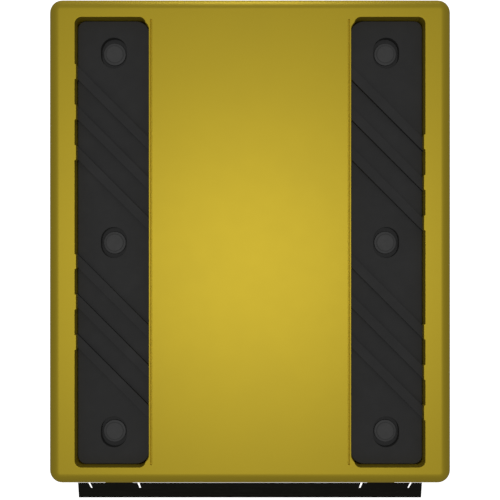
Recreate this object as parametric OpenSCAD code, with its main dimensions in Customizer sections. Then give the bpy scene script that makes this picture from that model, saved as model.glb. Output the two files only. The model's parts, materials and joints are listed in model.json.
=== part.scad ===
// Parking wheel stop for one wheel. A hollow moulded block stands on the ground
// and is held by six anchors that sit in the wells of two ribbed inlay pads.
// A sloped sheet apron stands off the front wall on two brackets.
//
// Frame: millimetres, +Z up, ground at z = 0, +X to the right, +Y to the rear.
// The origin is at ground level, under the middle of the whole stop's box.

/* [Block] */
// Width of the block, left to right
body_w = 406.8; // [396:0.1:440]
// Length of the block, front to rear
body_l = 490; // [484:1:540]
// Height of the top face above the ground
body_h = 110; // [104:1:130]
// Radius of the four upright corners
corner_r = 13.5; // [13:0.5:18]
// Radius of the top edge
edge_r = 12.5; // [8:0.5:13]
// Thickness of the moulded walls
wall_t = 6; // [5:0.5:7]

/* [Pockets and pads] */
// Distance from the middle of the stop to the middle of each pocket
pocket_x = 138.3; // [137:0.1:141]
// Distance of the pockets' middle ahead of the block's middle
pocket_ahead = 1; // [0:0.1:3]
// Width of a pocket at the top face
pocket_w = 74; // [72:0.1:75]
// Length of a pocket
pocket_l = 450.6; // [446:0.1:454]
// Radius of a pocket's corners
pocket_r = 6.5; // [5:0.5:8]
// Gap all round a pad in its pocket
pad_gap = 0.5; // [0.3:0.1:0.8]
// Depth of a pad's surface below the top face
pad_drop = 9.5; // [9:0.5:11]
// Thickness of a pad without its ribs
pad_t = 16.5; // [14:0.5:18]
// Radius of a pad's corners
pad_r = 8.5; // [7:0.5:12]
// Height of the diagonal ribs on a pad
rib_h = 3.3; // [2:0.1:4]
// Width of a rib, square to its length
rib_w = 9.5; // [7:0.5:11]
// Distance between ribs along the pad
rib_pitch = 40.5; // [38:0.5:42]
// Distance from the middle of the pad to the nearest rib
rib_start = 54.5; // [50:0.5:57]

/* [Anchors] */
// Distance between neighbouring anchors along a pad
anchor_pitch = 192.5; // [188:0.5:194]
// Width of the oblong well in the pad round each anchor
well_w = 27; // [26.5:0.5:30]
// Length of that well
well_l = 32; // [30:0.5:36]
// Depth of the well's floor below the pad's surface
well_depth = 5.5; // [4:0.5:8]
// Bore for the ground stud in each sleeve nut
stud_bore_d = 12.2; // [10.2:0.1:12.4]
// Outer diameter of the cap on each sleeve nut
cap_d = 22.8; // [22.4:0.1:24]

/* [Front apron] */
// Depth of the apron's top edge below the top face
apron_drop = 17; // [15:0.5:20]
// Gap between the apron's top edge and the front wall
apron_gap = 1.7; // [1.5:0.1:4]
// Lean of the apron's face away from upright, in degrees
apron_lean = 40.7; // [38:0.1:44]
// Length of the flat part of the face, down the slope
apron_slope = 40.2; // [36:0.1:42]
// Thickness of the sheet
apron_t = 1.5; // [1.2:0.1:2]
// Width of the apron at its top edge
apron_w = 353.6; // [340:0.1:360]

/* [Hidden] */
$fn = 64;

cut = 1;              // overrun of a cutting tool past the face it opens
slip = 0.2;           // play between parts that slide into each other

// Levels, from the ground up
strip_t = 3;
strip_w = 8;
pad_top = body_h - pad_drop;
rail_t = 5;
rail_top = pad_top - pad_t;
rail_bottom = rail_top - rail_t;
floor_t = 5;
trough_bottom = rail_bottom - floor_t;

// Pocket walls inside the block
inner_wall_t = 9.8;
outer_wall_t = 5;
groove_w = 2;
groove_depth = 5;
lip_t = 1.4;
corner_step = 3.5;     // the lip side of a pocket stops this far short of its ends
corner_inset = 3.3;    // and its end corners lie this far inside the lip
lip_corner_r = 9;
groove_l = 444;
tooth_reach = 1.35;
tooth_l = 15.6;
tooth_h = pad_drop - rib_h - slip;
tooth_inset = 35.2;
pad_lip_r = 14;

// Stiffening inside the block
boss_d = 38;
web_t = 5;
web_y = 82;
web_bottom = 22;

// Anchors
sleeve_d = 28;
sleeve_bore_d = 17;
cap_hole_d = cap_d + 1.6;
rail_slot_l = 24;
rail_edge = 1.9;
washer_t = 2;
washer_d = 22.8;
nut_top = rail_top + washer_t;
nut_head_af = 17;
nut_head_h = 8;
nut_barrel_d = 16;
nut_foot = 2;
nut_chamfer = 1;
nut_bore_top = 66;
cap_h = 10.9;
cap_bevel = 2.2;

// Front apron and its mounting
bend_r = 12;
lip_drop = 9;
flare = 0.256;        // sideways growth of the apron per unit of height
corner_clip = 4;
relief_w = 2.9;
relief_l = 16.5;
relief_x = 25.35;
relief_shift = 2;  // the slots sit this much further out than a pocket's middle
doubler_t = 3;
doubler_from = 19;
arm_w = 28;
bracket_t = 3;
bracket_w = 56;
bracket_top = body_h - 33;
bracket_bottom = body_h - 72;
stud_s = 28;
stud_d = 6;
stud_end = 15.5;
wall_bolt_z = body_h - 60;
wall_bolt_x = 15;
wall_bolt_d = 8;
wall_bolt_hole = 9;
wall_plate_w = 60;
wall_plate_h = 36;
wall_plate_t = 5;
wall_stack = wall_t + wall_plate_t;

// Standard fasteners: M8 through the front wall, M6 behind the apron
m8_washer_t = 1.6;
m8_washer_d = 16;
m8_af = 13;
m8_nut_h = 6.5;
m8_head_h = 5.3;
m6_washer_t = 1.2;
m6_washer_d = 12;
m6_af = 10;
m6_nut_h = 5;

// Place of the block in the frame, and of the apron on its front wall
lean_s = sin(apron_lean);
lean_c = cos(apron_lean);
apron_top = body_h - apron_drop;
apron_out = apron_gap + apron_t * lean_c;
apron_reach = apron_out + apron_slope * lean_s + bend_r * (1 - lean_c);
body_y = apron_reach / 2;
lip_top = apron_top - apron_slope * lean_c - bend_r * lean_s;
apron_bottom = lip_top - lip_drop;

// ---------------------------------------------------------------- helpers

// A rectangle with rounded corners, centred on the origin
module round_rect(w, l, r) {
  square([w - 2 * r, l], center = true);
  square([w, l - 2 * r], center = true);
  for (x = [-1, 1], y = [-1, 1])
    translate([x * (w / 2 - r), y * (l / 2 - r)]) circle(r);
}

// A rectangle standing on y = 0 with only its top corners rounded
module arch(w, h, r) {
  translate([-w / 2, 0]) square([w, h - r]);
  translate([r - w / 2, 0]) square([w - 2 * r, h]);
  for (x = [-1, 1]) translate([x * (w / 2 - r), h - r]) circle(r);
}

// An oblong with round ends, its length along Y
module oblong(w, l) {
  square([w, l - w], center = true);
  for (y = [-1, 1]) translate([0, y * (l - w) / 2]) circle(d = w);
}

// A slab of a 2D shape between two heights
module slab(from, to) {
  translate([0, 0, from]) linear_extrude(to - from) children();
}

// Moves to the middle of the block
module at_block() { translate([0, body_y, 0]) children(); }

// Moves to the middle of a pocket; side is -1 on the left and 1 on the right
module at_pocket(side) {
  at_block() translate([side * pocket_x, -pocket_ahead, 0]) children();
}

// Outline of a pocket: its two corners on the lip side are stepped inward
module pocket_outline(side) {
  translate([side * corner_inset / 2, 0])
    round_rect(pocket_w - corner_inset, pocket_l, pocket_r);
  round_rect(pocket_w, pocket_l - 2 * corner_step, lip_corner_r);
}

// Outline of a piece that lies in a pocket, with wider corners on the lip side
module insert_outline(side, gap) {
  w = pocket_w - 2 * gap;
  l = pocket_l - 2 * gap;
  intersection() {
    round_rect(w, l, pad_r);
    translate([side * w / 2, 0]) round_rect(2 * w, l, pad_lip_r);
  }
}

// Copies to the three anchors of one pocket
module at_anchors(side) {
  at_pocket(side) for (i = [-1, 0, 1]) translate([0, i * anchor_pitch, 0]) children();
}

// A side profile, drawn with x as the distance out from the front wall and y as
// the height, stretched across the stop
module front_profile(width) {
  translate([0, body_y - body_l / 2, 0]) rotate([90, 0, -90])
    translate([0, 0, -width / 2]) linear_extrude(width) children();
}

// Turns a side profile onto the apron's slope: x runs down the slope from the
// top edge, y is square to the face and outward
module on_slope() {
  translate([apron_out, apron_top]) rotate(apron_lean - 90) children();
}

// The same slope for round parts: their axis runs inward from the given depth
module into_slope(side, s, depth) {
  translate([0, body_y - body_l / 2, 0]) rotate([90, 0, -90])
    translate([apron_out, apron_top, 0]) rotate([0, 0, apron_lean - 90])
      translate([s, -depth, -side * pocket_x]) rotate([90, 0, 0]) children();
}

// Copies to the four bolts in the front wall, their axis pointing to the rear
module at_wall_bolts(out) {
  for (side = [-1, 1], x = [-1, 1])
    translate([side * pocket_x + x * wall_bolt_x, body_y - body_l / 2 - out, wall_bolt_z])
      rotate([-90, 0, 0]) children();
}

// A flat ring
module ring(d, hole, h) {
  difference() {
    cylinder(d = d, h = h);
    translate([0, 0, -cut]) cylinder(d = hole, h = h + 2 * cut);
  }
}

// A hexagonal prism measured across its flats
module hexagon(af, h) { cylinder(d = af / cos(30), h = h, $fn = 6); }

// A hexagonal head or nut: its corners are turned off at the top, and at the
// bottom too if both is true
module hex_head(af, h, both = false) {
  r = af / 2 / cos(30);
  drop = (r - af / 2) * tan(30);
  intersection() {
    hexagon(af, h);
    rotate_extrude() polygon([
      [0, 0], [both ? af / 2 : r, 0], [r, both ? drop : 0],
      [r, h - drop], [af / 2, h], [0, h]
    ]);
  }
}

// A round shank with a small turned chamfer at its base
module shank(d, h, chamfer) {
  rotate_extrude()
    polygon([[0, 0], [d / 2 - chamfer, 0], [d / 2, chamfer], [d / 2, h], [0, h]]);
}

// ------------------------------------------------------------------ block

// Outside of the block: upright corners and top edge rounded
module block_outside() {
  intersection() {
    slab(strip_t, body_h) round_rect(body_w, body_l, corner_r);
    rotate([90, 0, 0]) translate([0, 0, -body_l / 2]) linear_extrude(body_l)
      arch(body_w, body_h, edge_r);
    rotate([90, 0, 90]) translate([0, 0, -body_w / 2]) linear_extrude(body_w)
      arch(body_l, body_h, edge_r);
  }
}

// Space inside the block, round the pocket troughs, anchor bosses and webs
module block_inside() {
  trough_in = pocket_x - pocket_w / 2 - inner_wall_t;
  trough_out = pocket_x + pocket_w / 2 + outer_wall_t;
  difference() {
    slab(strip_t - cut, body_h - wall_t)
      round_rect(body_w - 2 * wall_t, body_l - 2 * wall_t, corner_r - wall_t);
    for (side = [-1, 1]) {
      translate([side * (trough_in + trough_out) / 2, -pocket_ahead, (trough_bottom + body_h) / 2])
        cube([trough_out - trough_in, pocket_l + 2 * outer_wall_t, body_h - trough_bottom],
             center = true);
      for (i = [-1, 0, 1])
        translate([side * pocket_x, i * anchor_pitch - pocket_ahead, 0])
          cylinder(d = boss_d, h = body_h);
      translate([0, side * web_y, (web_bottom + body_h) / 2])
        cube([2 * trough_in + 2 * cut, web_t, body_h - web_bottom], center = true);
    }
  }
}

// Teeth on a pocket's outer wall, over the ends of the pad's ribs
module pocket_teeth(side) {
  for (i = [-1, 1], k = [0:2])
    translate([side * (pocket_w / 2 - tooth_reach),
               i * (rib_start + k * rib_pitch) - side * tooth_inset - tooth_l / 2,
               body_h - tooth_h])
      translate([side > 0 ? 0 : -(tooth_reach + cut), 0, 0])
        cube([tooth_reach + cut, tooth_l, tooth_h]);
}

module body_shell() {
  color([0.80, 0.70, 0.15]) {
    at_block() difference() {
      block_outside();
      block_inside();
      for (side = [-1, 1]) translate([side * pocket_x, -pocket_ahead, 0]) {
        slab(rail_bottom, body_h + cut) pocket_outline(side);
        for (i = [-1, 0, 1]) translate([0, i * anchor_pitch, 0])
          slab(0, body_h) circle(d = sleeve_d + 2 * slip);
        translate([-side * (pocket_w / 2 + lip_t + groove_w / 2), 0, body_h])
          cube([groove_w, groove_l, 2 * groove_depth], center = true);
      }
      translate([0, -body_y, 0]) at_wall_bolts(cut)
        cylinder(d = wall_bolt_hole, h = wall_t + 2 * cut);
    }
    for (side = [-1, 1]) at_pocket(side) pocket_teeth(side);
  }
}

// Straight rubber strips under the rim that bed the block on the ground
module end_strip(side) {
  color([0.12, 0.12, 0.12]) at_block()
    translate([0, side * (body_l - strip_w) / 2, strip_t / 2])
      cube([body_w - 2 * corner_r, strip_w, strip_t], center = true);
}

module side_strip(side) {
  color([0.12, 0.12, 0.12]) at_block()
    translate([side * (body_w - strip_w) / 2, 0, strip_t / 2])
      cube([strip_w, body_l - 2 * corner_r, strip_t], center = true);
}

// ---------------------------------------------------------- pads and rails

module tread_pad(side) {
  rib_run = 2 * pocket_w;
  color([0.16, 0.16, 0.16]) at_pocket(side) difference() {
    union() {
      slab(rail_top, pad_top) insert_outline(side, pad_gap);
      intersection() {
        slab(pad_top - cut, pad_top + rib_h) insert_outline(side, pad_gap);
        for (i = [-1, 1], k = [0:2])
          translate([0, i * (rib_start + k * rib_pitch), pad_top]) rotate([0, 0, -45])
            cube([rib_run, rib_w, 2 * rib_h], center = true);
      }
    }
    for (i = [-1, 0, 1]) translate([0, i * anchor_pitch, 0]) {
      slab(pad_top - well_depth, pad_top + cut) oblong(well_w, well_l);
      slab(rail_top - cut, pad_top) circle(d = cap_hole_d);
    }
  }
}

// Steel bar under a pad: it spreads the anchors' clamping over the pocket floor
module anchor_rail(side) {
  color([0.20, 0.20, 0.21]) at_pocket(side) difference() {
    slab(rail_bottom, rail_top) insert_outline(side, rail_edge);
    for (i = [-1, 0, 1]) translate([0, i * anchor_pitch, 0])
      slab(rail_bottom - cut, rail_top + cut) oblong(sleeve_bore_d, rail_slot_l);
  }
}

// ---------------------------------------------------------------- anchors

// Tubes from the ground to the rail that keep the clamping off the moulding
module compression_sleeves(side) {
  color([0.62, 0.62, 0.64]) at_anchors(side) ring(sleeve_d, sleeve_bore_d, rail_bottom);
}

module anchor_washers(side) {
  color([0.22, 0.22, 0.22]) at_anchors(side)
    translate([0, 0, rail_top]) ring(washer_d, sleeve_bore_d, washer_t);
}

// Long nuts with a closed hexagonal head; each one takes a ground stud from below
module sleeve_nuts(side) {
  color([0.60, 0.60, 0.62]) at_anchors(side) difference() {
    union() {
      translate([0, 0, nut_top]) hex_head(nut_head_af, nut_head_h);
      translate([0, 0, nut_foot]) shank(nut_barrel_d, nut_top - nut_foot, nut_chamfer);
    }
    translate([0, 0, nut_foot - cut])
      cylinder(d = stud_bore_d, h = nut_bore_top - nut_foot + cut);
  }
}

// Round bevelled caps pushed over the nuts' heads
module nut_caps(side) {
  color([0.24, 0.24, 0.24]) at_anchors(side) translate([0, 0, nut_top]) difference() {
    union() {
      cylinder(d = cap_d, h = cap_h - cap_bevel / 2);
      translate([0, 0, cap_h - cap_bevel / 2])
        cylinder(d1 = cap_d, d2 = cap_d - 2 * cap_bevel, h = cap_bevel / 2);
    }
    translate([0, 0, -cut]) hexagon(nut_head_af + 2 * slip, nut_head_h + cut + slip);
  }
}

// ------------------------------------------------------------ front apron

// Side profile of the sheet: a slope, a bend and a short upright lip
module apron_profile() {
  on_slope() translate([0, -apron_t]) square([apron_slope, apron_t]);
  translate([apron_reach - bend_r, lip_top]) intersection() {
    difference() {
      circle(bend_r);
      circle(bend_r - apron_t);
    }
    polygon([[0, 0], [2 * bend_r, 0], [2 * bend_r * lean_c, 2 * bend_r * lean_s]]);
  }
  translate([apron_reach - apron_t, apron_bottom]) square([apron_t, lip_drop]);
}

module front_apron() {
  top = apron_w / 2;
  low = top + flare * (apron_top - apron_bottom);
  color([0.08, 0.08, 0.08]) difference() {
    intersection() {
      front_profile(2 * low) apron_profile();
      translate([0, body_y, 0]) rotate([90, 0, 0]) linear_extrude(body_l) polygon([
        [-top, apron_top], [top, apron_top],
        [low - flare * corner_clip, apron_bottom + corner_clip],
        [low - corner_clip, apron_bottom], [corner_clip - low, apron_bottom],
        [flare * corner_clip - low, apron_bottom + corner_clip]
      ]);
    }
    for (side = [-1, 1], x = [-1, 1])
      translate([side * (pocket_x + relief_shift) + x * relief_x, 0, 0]) front_profile(relief_w)
        on_slope() translate([-cut, -apron_t - cut])
          square([relief_l + cut, apron_t + 2 * cut]);
  }
}

// Plate welded behind the apron, with a welded stud
module apron_doubler(side) {
  color([0.55, 0.55, 0.57]) {
    translate([side * pocket_x, 0, 0]) front_profile(arm_w) on_slope()
      translate([doubler_from, -apron_t - doubler_t])
        square([apron_slope - doubler_from, doubler_t]);
    into_slope(side, stud_s, apron_t + doubler_t / 2)
      cylinder(d = stud_d, h = stud_end - apron_t - doubler_t / 2);
  }
}

// Side profile of a bracket's arm: a level web and a tab along the slope
module arm_profile() {
  face = apron_t + doubler_t;
  tab_from = (apron_top - bracket_top - face * lean_s) / lean_c;
  web_out = apron_out + tab_from * lean_s - face * lean_c;
  translate([0, bracket_top - bracket_t]) square([web_out, bracket_t]);
  intersection() {
    on_slope() translate([tab_from - bracket_t, -face - bracket_t])
      square([apron_slope - tab_from + bracket_t, bracket_t]);
    square([apron_reach, bracket_top]);
  }
}

// Folded bracket: a wide leg on the front wall and a narrower arm to the apron
module apron_bracket(side) {
  color([0.60, 0.60, 0.62]) difference() {
    translate([side * pocket_x, 0, 0]) {
      front_profile(arm_w) arm_profile();
      front_profile(bracket_w)
        translate([0, bracket_bottom]) square([bracket_t, bracket_top - bracket_bottom]);
    }
    into_slope(side, stud_s, 0) cylinder(d = stud_d + 2 * slip, h = stud_end + cut);
    at_wall_bolts(bracket_t + cut) cylinder(d = wall_bolt_hole, h = bracket_t + 2 * cut);
  }
}

// Plate inside the front wall behind each bracket
module wall_plate(side) {
  color([0.55, 0.55, 0.57]) difference() {
    translate([side * pocket_x, body_y - body_l / 2 + wall_t + wall_plate_t / 2, wall_bolt_z])
      cube([wall_plate_w, wall_plate_t, wall_plate_h], center = true);
    at_wall_bolts(0) cylinder(d = wall_bolt_hole, h = wall_stack + cut);
  }
}

module bracket_bolts() {
  stack_out = bracket_t + m8_washer_t;
  length = stack_out + wall_stack + m8_washer_t + m8_nut_h + 2;
  color([0.60, 0.60, 0.62]) at_wall_bolts(stack_out) {
    rotate([180, 0, 0]) hex_head(m8_af, m8_head_h);
    translate([0, 0, length]) rotate([180, 0, 0]) shank(wall_bolt_d, length, 1);
  }
}

module bracket_washers() {
  color([0.66, 0.66, 0.68]) for (out = [bracket_t + m8_washer_t, -wall_stack])
    at_wall_bolts(out) ring(m8_washer_d, wall_bolt_d + 2 * slip, m8_washer_t);
}

module bracket_nuts() {
  color([0.60, 0.60, 0.62]) at_wall_bolts(-wall_stack - m8_washer_t) difference() {
    hex_head(m8_af, m8_nut_h, both = true);
    translate([0, 0, -cut]) cylinder(d = wall_bolt_d + slip / 2, h = m8_nut_h + 2 * cut);
  }
}

module apron_washers() {
  color([0.66, 0.66, 0.68]) for (side = [-1, 1])
    into_slope(side, stud_s, apron_t + doubler_t + bracket_t)
      ring(m6_washer_d, stud_d + 2 * slip, m6_washer_t);
}

module apron_nuts() {
  color([0.60, 0.60, 0.62]) for (side = [-1, 1])
    into_slope(side, stud_s, apron_t + doubler_t + bracket_t + m6_washer_t) difference() {
      hex_head(m6_af, m6_nut_h, both = true);
      translate([0, 0, -cut]) cylinder(d = stud_d + slip / 2, h = m6_nut_h + 2 * cut);
    }
}

// --------------------------------------------------------------- assembly

body_shell();
end_strip(-1);  // front_foot_strip
end_strip(1);  // rear_foot_strip
side_strip(-1);  // left_foot_strip
side_strip(1);  // right_foot_strip
tread_pad(-1);  // left_tread_pad
tread_pad(1);  // right_tread_pad
anchor_rail(-1);  // left_anchor_rail
anchor_rail(1);  // right_anchor_rail
compression_sleeves(-1);  // left_compression_sleeves
compression_sleeves(1);  // right_compression_sleeves
sleeve_nuts(-1);  // left_sleeve_nuts
sleeve_nuts(1);  // right_sleeve_nuts
anchor_washers(-1);  // left_anchor_washers
anchor_washers(1);  // right_anchor_washers
nut_caps(-1);  // left_nut_caps
nut_caps(1);  // right_nut_caps
front_apron();
apron_doubler(-1);  // left_apron_doubler
apron_doubler(1);  // right_apron_doubler
apron_bracket(-1);  // left_apron_bracket
apron_bracket(1);  // right_apron_bracket
wall_plate(-1);  // left_wall_plate
wall_plate(1);  // right_wall_plate
bracket_bolts();
bracket_washers();
bracket_nuts();
apron_nuts();
apron_washers();
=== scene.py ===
import json
import math

import bmesh
import bpy
from mathutils import Matrix, Vector


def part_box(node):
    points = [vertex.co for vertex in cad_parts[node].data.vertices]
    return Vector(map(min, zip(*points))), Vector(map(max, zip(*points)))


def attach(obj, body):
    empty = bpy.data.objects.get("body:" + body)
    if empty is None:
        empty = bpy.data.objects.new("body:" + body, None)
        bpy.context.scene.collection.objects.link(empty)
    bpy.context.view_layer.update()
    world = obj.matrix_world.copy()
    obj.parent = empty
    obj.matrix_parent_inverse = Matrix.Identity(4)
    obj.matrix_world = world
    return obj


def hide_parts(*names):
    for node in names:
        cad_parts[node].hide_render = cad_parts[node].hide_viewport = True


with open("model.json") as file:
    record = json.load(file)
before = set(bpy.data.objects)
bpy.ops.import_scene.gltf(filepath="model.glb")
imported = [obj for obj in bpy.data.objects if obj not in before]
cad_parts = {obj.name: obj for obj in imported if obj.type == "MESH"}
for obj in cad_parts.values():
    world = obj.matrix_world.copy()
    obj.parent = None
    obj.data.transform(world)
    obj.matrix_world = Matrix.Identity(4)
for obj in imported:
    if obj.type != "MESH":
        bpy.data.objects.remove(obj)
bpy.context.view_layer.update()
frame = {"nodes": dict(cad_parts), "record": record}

MM = 0.001

# ------------------------------------------------------------------ places
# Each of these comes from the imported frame, in metres.

BLOCK_LOW, BLOCK_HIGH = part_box("body_shell")
BLOCK_W = BLOCK_HIGH.x - BLOCK_LOW.x
BLOCK_L = BLOCK_HIGH.y - BLOCK_LOW.y
BLOCK_Y = (BLOCK_LOW.y + BLOCK_HIGH.y) / 2
TOP = BLOCK_HIGH.z
FOOT = BLOCK_LOW.z
PAD_LOW, PAD_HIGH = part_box("right_tread_pad")
POCKET_X = (PAD_LOW.x + PAD_HIGH.x) / 2
POCKET_Y = (PAD_LOW.y + PAD_HIGH.y) / 2
PAD_W = PAD_HIGH.x - PAD_LOW.x
PAD_L = PAD_HIGH.y - PAD_LOW.y
PAD_BOTTOM = PAD_LOW.z
RIB_TOP = PAD_HIGH.z
RAIL_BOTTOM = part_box("right_anchor_rail")[0].z
CAP_LOW, CAP_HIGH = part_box("right_nut_caps")
CAP_R = (CAP_HIGH.x - CAP_LOW.x) / 2
ANCHOR_PITCH = (CAP_HIGH.y - CAP_LOW.y) / 2 - CAP_R
SLEEVE_LOW, SLEEVE_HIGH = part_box("right_compression_sleeves")
SLEEVE_R = (SLEEVE_HIGH.x - SLEEVE_LOW.x) / 2
APRON_LOW, APRON_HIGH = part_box("front_apron")
PLATE_LOW, PLATE_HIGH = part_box("right_wall_plate")
WALL_BOLT_Z = (PLATE_LOW.z + PLATE_HIGH.z) / 2

# ------------------------------------------------------------------- sizes
# The object's own sizes that a node's box doesn't show. The apron is drawn
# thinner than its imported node, with narrower slots and a thin top edge, and the
# groove is shallower and the holes round the caps are smaller than packed.

CORNER_R = 13.5 * MM
EDGE_R = 12.5 * MM
WALL = 6 * MM
PAD_GAP = 0.5 * MM
POCKET_R = 6.5 * MM
MOUTH_R = 0.5 * MM
PAD_R = 8.5 * MM
PAD_EDGE_R = 0.8 * MM
RIB_H = 3.3 * MM
RIB_W = 9.5 * MM
RIB_PITCH = 40.5 * MM
RIB_START = 54.5 * MM
RIB_EDGE_R = 0.4 * MM
RIB_TURN = math.radians(-45)
WELL_W = 27 * MM
WELL_L = 32 * MM
WELL_RIM = 0.5 * MM
WELL_DEPTH = 5.5 * MM
CAP_HOLE_R = 11.6 * MM
SOCKET_R = 9.8 * MM
SOCKET_DEPTH = 8.2 * MM
TOOTH_REACH = 1.35 * MM
TOOTH_L = 15.6 * MM
TOOTH_H = 6 * MM
TOOTH_INSET = 35.2 * MM
TOOTH_CHAMFER = 0.8 * MM
TOOTH_UNDERSIDE = 0.4 * MM
GROOVE_W = 2 * MM
GROOVE_L = 444 * MM
GROOVE_DEPTH = 1.2 * MM
GROOVE_BED = 0.4 * MM
GROOVE_END_ROUND = 0.45
LIP_T = 1.4 * MM
CORNER_STEP = 3.5 * MM
CORNER_INSET = 3.3 * MM
LIP_CORNER_R = 9 * MM
END_ARC_STOP = 168
LIP_ARC_START = 130
PAD_LIP_R = 14 * MM
INNER_WALL = 9.8 * MM
OUTER_WALL = 5 * MM
TROUGH_FLOOR = 5 * MM
BOSS_R = 19 * MM
WEB_T = 5 * MM
WEB_Y = 82 * MM
WEB_BOTTOM = 22 * MM
BORE_PLAY = 0.2 * MM
WALL_BOLT_X = 15 * MM
WALL_HOLE_R = 4.5 * MM
APRON_T = 1 * MM
APRON_FEATHER = 2.2 * MM
APRON_LEAN = math.radians(40.7)
APRON_SLOPE = 40.2 * MM
APRON_BEND_R = 12 * MM
APRON_FLARE = 0.256
APRON_TOP_W = 353.6 * MM
APRON_CORNER = 4 * MM
RELIEF_W = 2.5 * MM
RELIEF_W_LOW = 1.9 * MM
RELIEF_L = 16.5 * MM
RELIEF_X = 25.35 * MM
RELIEF_SHIFT = 2 * MM
OVERRUN = 1 * MM
BOSS_OVERRUN = 5 * MM
CARRIED_EDGE_R = 0.3 * MM
MERGE_WITHIN = 0.002 * MM
DISSOLVE_WITHIN = 0.001 * MM
HARD_EDGE = math.radians(40)
ROUND_STEPS = 64
BORE_STEPS = 48
HOLE_STEPS = 32

SIDES = {"left": -1, "right": 1}
ANCHORS = (-1, 0, 1)
RIBS = [i * (RIB_START + k * RIB_PITCH) for i in (-1, 1) for k in range(3)]
PAD_TOP = RIB_TOP - RIB_H

# ----------------------------------------------------------- mesh helpers


def arc(cx, cy, r, start, end, steps):
    """Points on an arc, angles in degrees."""
    turns = [math.radians(start + (end - start) * i / steps) for i in range(steps + 1)]
    return [(cx + r * math.cos(t), cy + r * math.sin(t)) for t in turns]


def rounded(w, l, r, steps=8):
    """Outline of a rectangle with rounded corners, counter-clockwise."""
    x, y = w / 2 - r, l / 2 - r
    corners = ((x, y, 0), (-x, y, 90), (-x, -y, 180), (x, -y, 270))
    return [p for cx, cy, a in corners for p in arc(cx, cy, r, a, a + 90, steps)]


def oblong(w, l, steps=20):
    """Outline with round ends, its length along Y."""
    y = (l - w) / 2
    return arc(0, y, w / 2, 0, 180, steps) + arc(0, -y, w / 2, 180, 360, steps)


def circle(r, steps):
    """Outline of a circle, or of a regular polygon where there are few steps."""
    return arc(0, 0, r, 0, 360 - 360 / steps, steps - 1)


def at(outline, z, x=0.0, y=0.0):
    """An outline lifted to a height and moved to a place."""
    return [Vector((px + x, py + y, z)) for px, py in outline]


def loft(bm, rings):
    """A closed solid through rings that have the same number of points."""
    rows = [[bm.verts.new(p) for p in ring] for ring in rings]
    count = len(rows[0])
    for low, high in zip(rows, rows[1:]):
        for i in range(count):
            j = (i + 1) % count
            bm.faces.new((low[i], low[j], high[j], high[i]))
    bm.faces.new(list(reversed(rows[0])))
    bm.faces.new(rows[-1])


def solid(name, *lofts):
    """An object that holds one closed solid for each list of rings."""
    bm = bmesh.new()
    for rings in lofts:
        loft(bm, rings)
    bmesh.ops.recalc_face_normals(bm, faces=bm.faces)
    mesh = bpy.data.meshes.new(name)
    bm.to_mesh(mesh)
    bm.free()
    obj = bpy.data.objects.new(name, mesh)
    bpy.context.scene.collection.objects.link(obj)
    return obj


def box_rings(low, high):
    """Rings of an upright box between two corners."""
    outline = [(low.x, low.y), (high.x, low.y), (high.x, high.y), (low.x, high.y)]
    return [at(outline, low.z), at(outline, high.z)]


def combine(obj, tool, operation):
    """Cuts, joins or intersects obj with a tool, and removes the tool."""
    step = obj.modifiers.new("combine", "BOOLEAN")
    step.operation, step.solver, step.object = operation, "EXACT", tool
    graph = bpy.context.evaluated_depsgraph_get()
    made = bpy.data.meshes.new_from_object(obj.evaluated_get(graph))
    obj.modifiers.clear()
    obj.data = made
    bpy.data.objects.remove(tool, do_unlink=True)


def clean(obj, angle):
    """Merges doubled points and sets smooth shading with sharp edges."""
    bm = bmesh.new()
    bm.from_mesh(obj.data)
    bmesh.ops.remove_doubles(bm, verts=bm.verts, dist=MERGE_WITHIN)
    bmesh.ops.dissolve_degenerate(bm, edges=bm.edges, dist=DISSOLVE_WITHIN)
    bmesh.ops.recalc_face_normals(bm, faces=bm.faces)
    bm.to_mesh(obj.data)
    bm.free()
    obj.data.shade_smooth()
    obj.data.set_sharp_from_angle(angle=math.radians(angle))
    obj.modifiers.new("normals", "WEIGHTED_NORMAL").keep_sharp = True


def edge_round(obj, width):
    """Rounds every hard edge of a piece."""
    step = obj.modifiers.new("edges", "BEVEL")
    step.width, step.segments = width, 2
    step.limit_method, step.angle_limit = "ANGLE", HARD_EDGE
    step.use_clamp_overlap = True


def place(obj, node, material):
    """Puts a piece under the root body, hides the CAD node that it stands for and gives it its material.
    """
    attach(obj, "root")
    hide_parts(node)
    obj.data.materials.clear()
    obj.data.materials.append(material)
    return obj


# --------------------------------------------------------------- materials


def shader(name, color, roughness, metallic=0.0, specular=0.5):
    """A material with one Principled shader; returns it, its tree and the shader."""
    material = bpy.data.materials.new(name)
    material.use_nodes = True
    tree = material.node_tree
    bsdf = tree.nodes["Principled BSDF"]
    bsdf.inputs["Base Color"].default_value = (*color, 1)
    bsdf.inputs["Roughness"].default_value = roughness
    bsdf.inputs["Metallic"].default_value = metallic
    bsdf.inputs["Specular IOR Level"].default_value = specular
    return material, tree, bsdf


def noise(tree, scale, detail, stretch=(1, 1, 1)):
    """Noise in the object's own space; scale is in cells per metre."""
    coord = tree.nodes.new("ShaderNodeTexCoord")
    mapping = tree.nodes.new("ShaderNodeMapping")
    mapping.inputs["Scale"].default_value = stretch
    texture = tree.nodes.new("ShaderNodeTexNoise")
    texture.inputs["Scale"].default_value = scale
    texture.inputs["Detail"].default_value = detail
    tree.links.new(coord.outputs["Object"], mapping.inputs["Vector"])
    tree.links.new(mapping.outputs["Vector"], texture.inputs["Vector"])
    return texture.outputs["Fac"]


def vary_color(tree, bsdf, color, worn, source, low=0.45, high=0.75):
    """Blends the base colour towards a worn one where the source is high."""
    ramp = tree.nodes.new("ShaderNodeValToRGB")
    ramp.color_ramp.elements[0].position = low
    ramp.color_ramp.elements[0].color = (*color, 1)
    ramp.color_ramp.elements[1].position = high
    ramp.color_ramp.elements[1].color = (*worn, 1)
    tree.links.new(source, ramp.inputs["Fac"])
    tree.links.new(ramp.outputs["Color"], bsdf.inputs["Base Color"])


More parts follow.
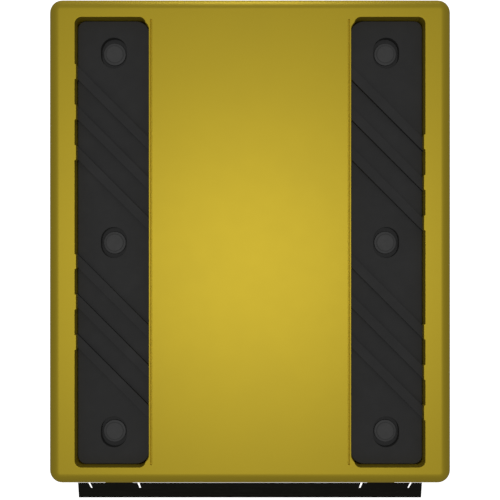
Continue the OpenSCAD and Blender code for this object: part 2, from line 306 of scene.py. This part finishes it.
def vary_roughness(tree, bsdf, source, low, high):
    """Spreads the roughness between two values."""
    spread = tree.nodes.new("ShaderNodeMapRange")
    spread.inputs["From Min"].default_value = 0.3
    spread.inputs["From Max"].default_value = 0.7
    spread.inputs["To Min"].default_value = low
    spread.inputs["To Max"].default_value = high
    tree.links.new(source, spread.inputs["Value"])
    tree.links.new(spread.outputs["Result"], bsdf.inputs["Roughness"])


def grain(tree, bsdf, source, strength, depth):
    """Fine relief in the surface; depth is in metres."""
    bump = tree.nodes.new("ShaderNodeBump")
    bump.inputs["Strength"].default_value = strength
    bump.inputs["Distance"].default_value = depth
    tree.links.new(source, bump.inputs["Height"])
    tree.links.new(bump.outputs["Normal"], bsdf.inputs["Normal"])


def moulded_yellow():
    """Satin yellow moulding; the metallic share only shapes its soft highlight."""
    color, worn = (0.80, 0.60, 0.042), (0.785, 0.589, 0.043)
    material, tree, bsdf = shader("moulded_yellow", color, 0.48, metallic=0.68, specular=0.3)
    vary_color(tree, bsdf, color, worn, noise(tree, 14, 4))
    vary_roughness(tree, bsdf, noise(tree, 60, 3), 0.477, 0.483)
    grain(tree, bsdf, noise(tree, 1400, 2), 0.05, 0.02 * MM)
    return material


def pad_rubber():
    """Dull dark grey rubber of the pads."""
    color, worn = (0.066, 0.066, 0.066), (0.073, 0.073, 0.073)
    material, tree, bsdf = shader("pad_rubber", color, 0.75, specular=0.2)
    vary_color(tree, bsdf, color, worn, noise(tree, 35, 5))
    vary_roughness(tree, bsdf, noise(tree, 90, 3), 0.70, 0.82)
    grain(tree, bsdf, noise(tree, 1800, 2), 0.15, 0.05 * MM)
    return material


def cap_plastic():
    """Slightly lighter plastic of the caps."""
    color, worn = (0.110, 0.110, 0.110), (0.120, 0.120, 0.120)
    material, tree, bsdf = shader("cap_plastic", color, 0.6, specular=0.3)
    vary_color(tree, bsdf, color, worn, noise(tree, 120, 3))
    vary_roughness(tree, bsdf, noise(tree, 200, 3), 0.56, 0.66)
    grain(tree, bsdf, noise(tree, 1500, 2), 0.10, 0.03 * MM)
    return material


def apron_black():
    """Near-black sheet with almost no reflection."""
    color, worn = (0.021, 0.020, 0.016), (0.026, 0.025, 0.020)
    material, tree, bsdf = shader("apron_black", color, 0.25, specular=0.5)
    bsdf.inputs["IOR"].default_value = 1.02
    vary_color(tree, bsdf, color, worn, noise(tree, 40, 4, (1, 4, 4)))
    vary_roughness(tree, bsdf, noise(tree, 150, 3), 0.20, 0.30)
    grain(tree, bsdf, noise(tree, 900, 2), 0.04, 0.02 * MM)
    return material


def plated_steel():
    """Bright plated steel of fasteners, sleeves, plates and brackets."""
    color, worn = (0.56, 0.56, 0.58), (0.42, 0.42, 0.43)
    material, tree, bsdf = shader("plated_steel", color, 0.38, metallic=1.0)
    vary_color(tree, bsdf, color, worn, noise(tree, 90, 5))
    vary_roughness(tree, bsdf, noise(tree, 250, 3), 0.30, 0.50)
    grain(tree, bsdf, noise(tree, 1600, 2, (1, 1, 0.2)), 0.1, 0.02 * MM)
    return material


def painted_steel():
    """Black painted steel of the rails and washers."""
    color, worn = (0.030, 0.030, 0.032), (0.042, 0.042, 0.044)
    material, tree, bsdf = shader("painted_steel", color, 0.5, specular=0.3)
    vary_color(tree, bsdf, color, worn, noise(tree, 70, 4))
    vary_roughness(tree, bsdf, noise(tree, 160, 3), 0.42, 0.6)
    grain(tree, bsdf, noise(tree, 1200, 2), 0.1, 0.03 * MM)
    return material


def strip_rubber():
    """Black rubber of the foot strips."""
    color, worn = (0.015, 0.015, 0.015), (0.025, 0.025, 0.024)
    material, tree, bsdf = shader("strip_rubber", color, 0.8, specular=0.2)
    vary_color(tree, bsdf, color, worn, noise(tree, 60, 4))
    vary_roughness(tree, bsdf, noise(tree, 120, 3), 0.72, 0.88)
    grain(tree, bsdf, noise(tree, 1500, 2), 0.15, 0.04 * MM)
    return material


MATERIALS = {
    make.__name__: make()
    for make in (moulded_yellow, pad_rubber, cap_plastic, apron_black,
                 plated_steel, painted_steel, strip_rubber)
}

# ------------------------------------------------------------------- block


def block_outside():
    """The block's outside, with its top edge rounded."""
    steps = 12
    rings = [at(rounded(BLOCK_W, BLOCK_L, CORNER_R), FOOT, y=BLOCK_Y)]
    for i in range(steps + 1):
        turn = math.pi / 2 * i / steps
        inset = EDGE_R * (1 - math.cos(turn))
        outline = rounded(BLOCK_W - 2 * inset, BLOCK_L - 2 * inset, CORNER_R - inset)
        rings.append(at(outline, TOP - EDGE_R + EDGE_R * math.sin(turn), y=BLOCK_Y))
    return solid("block", rings)


def block_inside():
    """The hollow under the block, round its troughs, anchor bosses and webs."""
    inner_r = CORNER_R - WALL
    outline = rounded(BLOCK_W - 2 * WALL, BLOCK_L - 2 * WALL, inner_r)
    hollow = solid("hollow", [at(outline, z, y=BLOCK_Y) for z in (FOOT - OVERRUN, TOP - WALL)])
    half = PAD_W / 2 + PAD_GAP
    trough_in, trough_out = POCKET_X - half - INNER_WALL, POCKET_X + half + OUTER_WALL
    reach = PAD_L / 2 + PAD_GAP + OUTER_WALL
    troughs, bosses = [], []
    for side in SIDES.values():
        xs = sorted((side * trough_in, side * trough_out))
        troughs.append(box_rings(Vector((xs[0], POCKET_Y - reach, RAIL_BOTTOM - TROUGH_FLOOR)),
                                 Vector((xs[1], POCKET_Y + reach, TOP))))
        bosses += [[at(circle(BOSS_R, BORE_STEPS), z, side * POCKET_X, POCKET_Y + i * ANCHOR_PITCH)
                    for z in (-BOSS_OVERRUN, TOP)] for i in ANCHORS]
    webs = [box_rings(Vector((-trough_in - OVERRUN, BLOCK_Y + i * WEB_Y - WEB_T / 2, WEB_BOTTOM)),
                      Vector((trough_in + OVERRUN, BLOCK_Y + i * WEB_Y + WEB_T / 2, TOP)))
            for i in (-1, 1)]
    combine(hollow, solid("troughs", *troughs), "DIFFERENCE")
    combine(hollow, solid("bosses", *bosses), "DIFFERENCE")
    combine(hollow, solid("webs", *webs), "DIFFERENCE")
    return hollow


def pocket_outline(side, grow, reach):
    """A pocket's outline, with the teeth on its outer wall standing out by reach.

    Its two corners on the lip side are stepped inward.
    """
    half_w, half_l = PAD_W / 2 + PAD_GAP, PAD_L / 2 + PAD_GAP
    x, y, r = half_w - POCKET_R, half_l - POCKET_R, POCKET_R + grow
    end_x, lip_x = CORNER_INSET + POCKET_R - half_w, LIP_CORNER_R - half_w
    lip_y, lip_r = half_l - CORNER_STEP - LIP_CORNER_R, LIP_CORNER_R + grow
    points = arc(x, y, r, 0, 90, 8) + arc(end_x, y, r, 90, END_ARC_STOP, 8)
    points += arc(lip_x, lip_y, lip_r, LIP_ARC_START, 180, 6)
    points += arc(lip_x, -lip_y, lip_r, 180, 360 - LIP_ARC_START, 6)
    points += arc(end_x, -y, r, 360 - END_ARC_STOP, 270, 8) + arc(x, -y, r, 270, 360, 8)
    edge = half_w + grow
    for tooth in sorted(rib - side * TOOTH_INSET for rib in RIBS):
        low, high = tooth - TOOTH_L / 2, tooth + TOOTH_L / 2
        points += [(edge, low), (edge - reach, low + TOOTH_CHAMFER),
                   (edge - reach, high - TOOTH_CHAMFER), (edge, high)]
    return [(side * px, py) for px, py in points]


def pocket_rings(side):
    """Rings of the space that one pocket takes out of the block."""
    tooth_low = TOP - TOOTH_H
    levels = [(RAIL_BOTTOM, 0, 0), (tooth_low, 0, 0), (tooth_low + TOOTH_UNDERSIDE, 0, TOOTH_REACH)]
    for i in range(4):
        turn = math.pi / 2 * i / 3
        levels.append((TOP - MOUTH_R + MOUTH_R * math.sin(turn),
                       MOUTH_R * (1 - math.cos(turn)), TOOTH_REACH))
    levels.append((TOP + OVERRUN, MOUTH_R, TOOTH_REACH))
    return [at(pocket_outline(side, grow, reach), z, side * POCKET_X, POCKET_Y)
            for z, grow, reach in levels]


def groove_rings(side):
    """Rings of the shallow rounded groove that marks off the lip beside a pocket."""
    steps = 5
    x = side * (POCKET_X - PAD_W / 2 - PAD_GAP - LIP_T - GROOVE_W / 2)
    levels = []
    for i in range(steps + 1):
        turn = math.pi / 2 * i / steps
        levels.append((TOP - GROOVE_DEPTH * math.cos(turn),
                       GROOVE_BED + (GROOVE_W - GROOVE_BED) * math.sin(turn)))
    levels.append((TOP + OVERRUN, GROOVE_W))
    return [at(rounded(w, GROOVE_L + w, GROOVE_END_ROUND * w), z, x, POCKET_Y) for z, w in levels]


def wall_holes():
    """Rings of the four bolt holes through the front wall."""
    holes = []
    for x in [side * POCKET_X + i * WALL_BOLT_X for side in SIDES.values() for i in (-1, 1)]:
        holes.append([[Vector((x + px, y, WALL_BOLT_Z + pz)) for px, pz in circle(WALL_HOLE_R, HOLE_STEPS)]
                      for y in (BLOCK_LOW.y - OVERRUN, BLOCK_LOW.y + WALL + OVERRUN)])
    return holes


def block():
    """The hollow block with its pockets, grooves, bores and wall holes."""
    obj = block_outside()
    combine(obj, block_inside(), "DIFFERENCE")
    for side in SIDES.values():
        combine(obj, solid("pocket", pocket_rings(side)), "DIFFERENCE")
        combine(obj, solid("groove", groove_rings(side)), "DIFFERENCE")
    bores = [[at(circle(SLEEVE_R + BORE_PLAY, BORE_STEPS), z,
                 side * POCKET_X, POCKET_Y + i * ANCHOR_PITCH)
              for z in (-OVERRUN, PAD_BOTTOM)] for side in SIDES.values() for i in ANCHORS]
    combine(obj, solid("bores", *bores), "DIFFERENCE")
    combine(obj, solid("holes", *wall_holes()), "DIFFERENCE")
    clean(obj, 40)
    return place(obj, "body_shell", MATERIALS["moulded_yellow"])


# -------------------------------------------------------------------- pads


def pad_outline(side, inset):
    """A pad's outline, with wider corners on the lip side."""
    points = []
    for sx, sy, turn in ((1, 1, 0), (-1, 1, 90), (-1, -1, 180), (1, -1, 270)):
        r = PAD_R if sx > 0 else PAD_LIP_R
        points += arc(sx * (PAD_W / 2 - r), sy * (PAD_L / 2 - r), r - inset, turn, turn + 90, 8)
    return [(side * x, y) for x, y in points]


def pad_body(name, side):
    """A pad without ribs, with a rounded top edge."""
    x = side * POCKET_X
    steps = 4
    rings = [at(pad_outline(side, 0), PAD_BOTTOM, x, POCKET_Y)]
    for i in range(steps + 1):
        turn = math.pi / 2 * i / steps
        outline = pad_outline(side, PAD_EDGE_R * (1 - math.cos(turn)))
        rings.append(at(outline, PAD_TOP - PAD_EDGE_R + PAD_EDGE_R * math.sin(turn), x, POCKET_Y))
    return solid(name, rings)


def rib_rings(x, y):
    """Rings along one diagonal rib, which has rounded upper edges."""
    low, half = PAD_TOP - 2 * RIB_EDGE_R, RIB_W / 2
    top_corners = (arc(half - RIB_EDGE_R, RIB_TOP - RIB_EDGE_R, RIB_EDGE_R, 0, 90, 3)
                   + arc(RIB_EDGE_R - half, RIB_TOP - RIB_EDGE_R, RIB_EDGE_R, 90, 180, 3))
    section = [(half, low)] + top_corners + [(-half, low)]
    turn = Matrix.Rotation(RIB_TURN, 3, "Z")
    return [[turn @ Vector((run, across, 0)) + Vector((x, y, z)) for across, z in section]
            for run in (-PAD_W, PAD_W)]


def well_rings(x, y):
    """Rings of one oblong well with a sloped rim."""
    levels = ((PAD_TOP - WELL_DEPTH, WELL_RIM), (PAD_TOP - WELL_RIM, WELL_RIM),
              (PAD_TOP, 0), (RIB_TOP + OVERRUN, 0))
    return [at(oblong(WELL_W - 2 * g, WELL_L - 2 * g), z, x, y) for z, g in levels]


def tread_pad(name, side):
    """One pad with its ribs, its wells and the holes for the caps."""
    x = side * POCKET_X
    obj = pad_body(name, side)
    ribs = solid("ribs", *[rib_rings(x, POCKET_Y + y) for y in RIBS])
    edge = [at(pad_outline(side, 0), z, x, POCKET_Y) for z in (PAD_BOTTOM, RIB_TOP + OVERRUN)]
    combine(ribs, solid("edge", edge), "INTERSECT")
    combine(obj, ribs, "UNION")
    wells = [well_rings(x, POCKET_Y + i * ANCHOR_PITCH) for i in ANCHORS]
    combine(obj, solid("wells", *wells), "DIFFERENCE")
    holes = [[at(circle(CAP_HOLE_R, ROUND_STEPS), z, x, POCKET_Y + i * ANCHOR_PITCH)
              for z in (PAD_BOTTOM - OVERRUN, PAD_TOP)] for i in ANCHORS]
    combine(obj, solid("holes", *holes), "DIFFERENCE")
    clean(obj, 50)
    return place(obj, name, MATERIALS["pad_rubber"])


# -------------------------------------------------------------------- caps


# Up a cap's rounded flange, its bevel and its flat top: how far in from the
# cap's side, and how far down from its top, in millimetres.
CAP_STEPS = ((0, 1.5), (0.2, 1.1), (0.7, 0.85), (2.0, 0.75), (2.3, 0.65), (3.0, 0.1), (3.3, 0))


def cap_profile():
    """(radius, height) up a cap."""
    return [(CAP_R, CAP_LOW.z)] + [(CAP_R - i * MM, CAP_HIGH.z - down * MM) for i, down in CAP_STEPS]


def nut_caps(name, side):
    """One pocket's three caps, each with a six-sided socket underneath."""
    caps = [[at(circle(r, ROUND_STEPS), z, side * POCKET_X, POCKET_Y + i * ANCHOR_PITCH)
             for r, z in cap_profile()] for i in ANCHORS]
    obj = solid(name, *caps)
    sockets = [[at(circle(SOCKET_R, 6), z, side * POCKET_X, POCKET_Y + i * ANCHOR_PITCH)
                for z in (CAP_LOW.z - OVERRUN, CAP_LOW.z + SOCKET_DEPTH)] for i in ANCHORS]
    combine(obj, solid("sockets", *sockets), "DIFFERENCE")
    clean(obj, 30)
    return place(obj, name, MATERIALS["cap_plastic"])


# ------------------------------------------------------------------- apron


def slope_point(s, depth):
    """(y, z) of a point s down the apron's slope and depth behind its face."""
    bend = APRON_BEND_R * (1 - math.cos(APRON_LEAN))
    top_y = APRON_LOW.y + APRON_SLOPE * math.sin(APRON_LEAN) + bend
    y = top_y - s * math.sin(APRON_LEAN) + depth * math.cos(APRON_LEAN)
    return y, APRON_HIGH.z - s * math.cos(APRON_LEAN) - depth * math.sin(APRON_LEAN)


def apron_side(depth, start):
    """(y, z) points down one face of the sheet, from a distance down its slope."""
    steps, lean = 10, APRON_LEAN
    points = [slope_point(s, depth) for s in (start, APRON_SLOPE / 2, APRON_SLOPE)]
    bend_y = APRON_LOW.y + APRON_BEND_R
    bend_z = APRON_HIGH.z - APRON_SLOPE * math.cos(lean) - APRON_BEND_R * math.sin(lean)
    for i in range(1, steps + 1):
        turn = lean * (1 - i / steps)
        r = APRON_BEND_R - depth
        points.append((bend_y - r * math.cos(turn), bend_z + r * math.sin(turn)))
    y, corner_steps = APRON_LOW.y + depth, 6
    for i in range(corner_steps + 1):
        turn = math.pi / 2 * i / corner_steps
        points.append((y, APRON_LOW.z + APRON_CORNER * (1 - math.sin(turn))))
    return points


def apron_half_width(z):
    """Half the apron's width at a height; the lower corners are rounded."""
    half = APRON_TOP_W / 2 + APRON_FLARE * (APRON_HIGH.z - z)
    drop = APRON_CORNER - (z - APRON_LOW.z)
    if drop <= 0:
        return half
    return half - APRON_CORNER + math.sqrt(max(APRON_CORNER ** 2 - drop ** 2, 0))


def relief_rings(x):
    """Rings of one tapered slot, cut square to the slope from its top edge."""
    rings = []
    for depth in (-OVERRUN, APRON_T + OVERRUN):
        ring = []
        for s, w in ((-OVERRUN, RELIEF_W), (RELIEF_L, RELIEF_W_LOW)):
            y, z = slope_point(s, depth)
            pair = [Vector((x - w / 2, y, z)), Vector((x + w / 2, y, z))]
            ring += pair if s < 0 else reversed(pair)
        rings.append(ring)
    return rings


def front_apron():
    """The sheet, ground thin at the back along its top edge, with its four slots."""
    section = apron_side(0, 0) + list(reversed(apron_side(APRON_T, APRON_FEATHER)))
    rings = [[Vector((side * apron_half_width(z), y, z)) for y, z in section] for side in (-1, 1)]
    obj = solid("front_apron_sheet", rings)
    slots = [relief_rings(side * (POCKET_X + RELIEF_SHIFT) + i * RELIEF_X)
             for side in SIDES.values() for i in (-1, 1)]
    combine(obj, solid("slots", *slots), "DIFFERENCE")
    place(obj, "front_apron", MATERIALS["apron_black"])
    clean(obj, 35)
    return obj


# ------------------------------------------------------------ carried nodes


def finish_carried(replaced):
    """Gives each CAD node that still shows its record slot's material."""
    for part in frame["record"]["subparts"]:
        node = part["node"]
        if node in replaced:
            continue
        obj = frame["nodes"][node]
        obj.data.materials.clear()
        obj.data.materials.append(MATERIALS[part["material_slot"]])
        edge_round(obj, CARRIED_EDGE_R)


# ------------------------------------------------------------------- stage


FLOOR_HALF = 6.0
FLOOR_DROP = 0.2 * MM


def plain_floor():
    """A pale floor that glows, so that it stays even; it doesn't light the object."""
    bm = bmesh.new()
    bm.faces.new([bm.verts.new((x * FLOOR_HALF, y * FLOOR_HALF, -FLOOR_DROP))
                  for x, y in ((-1, -1), (1, -1), (1, 1), (-1, 1))])
    mesh = bpy.data.meshes.new("floor")
    bm.to_mesh(mesh)
    bm.free()
    floor = bpy.data.objects.new("floor", mesh)
    bpy.context.scene.collection.objects.link(floor)
    material, tree, bsdf = shader("pale_floor", (0.85, 0.85, 0.85), 0.9, specular=0.0)
    bsdf.inputs["Emission Color"].default_value = (1, 1, 1, 1)
    bsdf.inputs["Emission Strength"].default_value = 1.0
    mesh.materials.append(material)
    floor.visible_diffuse = False
    floor.visible_glossy = False


def area_light(name, place_at, target, size, power):
    """A round soft light aimed at a point; the camera doesn't see it."""
    data = bpy.data.lights.new(name, "AREA")
    data.shape, data.size, data.energy = "DISK", size, power
    light = bpy.data.objects.new(name, data)
    light.location = place_at
    aim = Vector(target) - Vector(place_at)
    light.rotation_mode = "QUATERNION"
    light.rotation_quaternion = aim.to_track_quat("-Z", "Y")
    light.visible_camera = False
    bpy.context.scene.collection.objects.link(light)


CAMERA_HEIGHT = 603.5 * MM
CAMERA_Y = BLOCK_Y - 20.3 * MM
LENS, SENSOR = 43.46, 36.0
SHIFT_Y = 0.023


def camera():
    """Looks straight down from over the block, a little ahead of its middle."""
    data = bpy.data.cameras.new("camera")
    data.lens, data.sensor_width, data.shift_y = LENS, SENSOR, SHIFT_Y
    data.clip_start, data.clip_end = 0.01, 100
    eye = bpy.data.objects.new("camera", data)
    eye.location = (0, CAMERA_Y, TOP + CAMERA_HEIGHT)
    bpy.context.scene.collection.objects.link(eye)
    bpy.context.scene.camera = eye


KEY_POWER = 0.51
KEY_SPREAD = 8.0
KEY_PLACE = (0, 0, 3)
REAR_PLACE = (0, 1.5, 0.16)
REAR_SIZE = 0.5
REAR_POWER = 2.2
AMBIENT = 0.17


def lights():
    """A far, soft light overhead, a low one behind, and a faint pale surround."""
    key = bpy.data.lights.new("key", "SUN")
    key.energy, key.angle = KEY_POWER, math.radians(KEY_SPREAD)
    overhead = bpy.data.objects.new("key", key)
    overhead.location = KEY_PLACE
    bpy.context.scene.collection.objects.link(overhead)
    area_light("rear", REAR_PLACE, (0, BLOCK_HIGH.y, TOP), REAR_SIZE, REAR_POWER)
    world = bpy.data.worlds.new("studio")
    world.use_nodes = True
    background = world.node_tree.nodes["Background"]
    background.inputs["Color"].default_value = (1, 1, 1, 1)
    background.inputs["Strength"].default_value = AMBIENT
    bpy.context.scene.world = world


# -------------------------------------------------------------------- build

camera()
lights()
plain_floor()
bpy.context.scene.view_settings.view_transform = "Standard"

block().name = "moulded_block"
for name, side in SIDES.items():
    tread_pad(f"{name}_tread_pad", side).name = f"{name}_pad"
    nut_caps(f"{name}_nut_caps", side).name = f"{name}_caps"
front_apron()
finish_carried({"body_shell", "front_apron", "left_tread_pad", "right_tread_pad",
                "left_nut_caps", "right_nut_caps"})
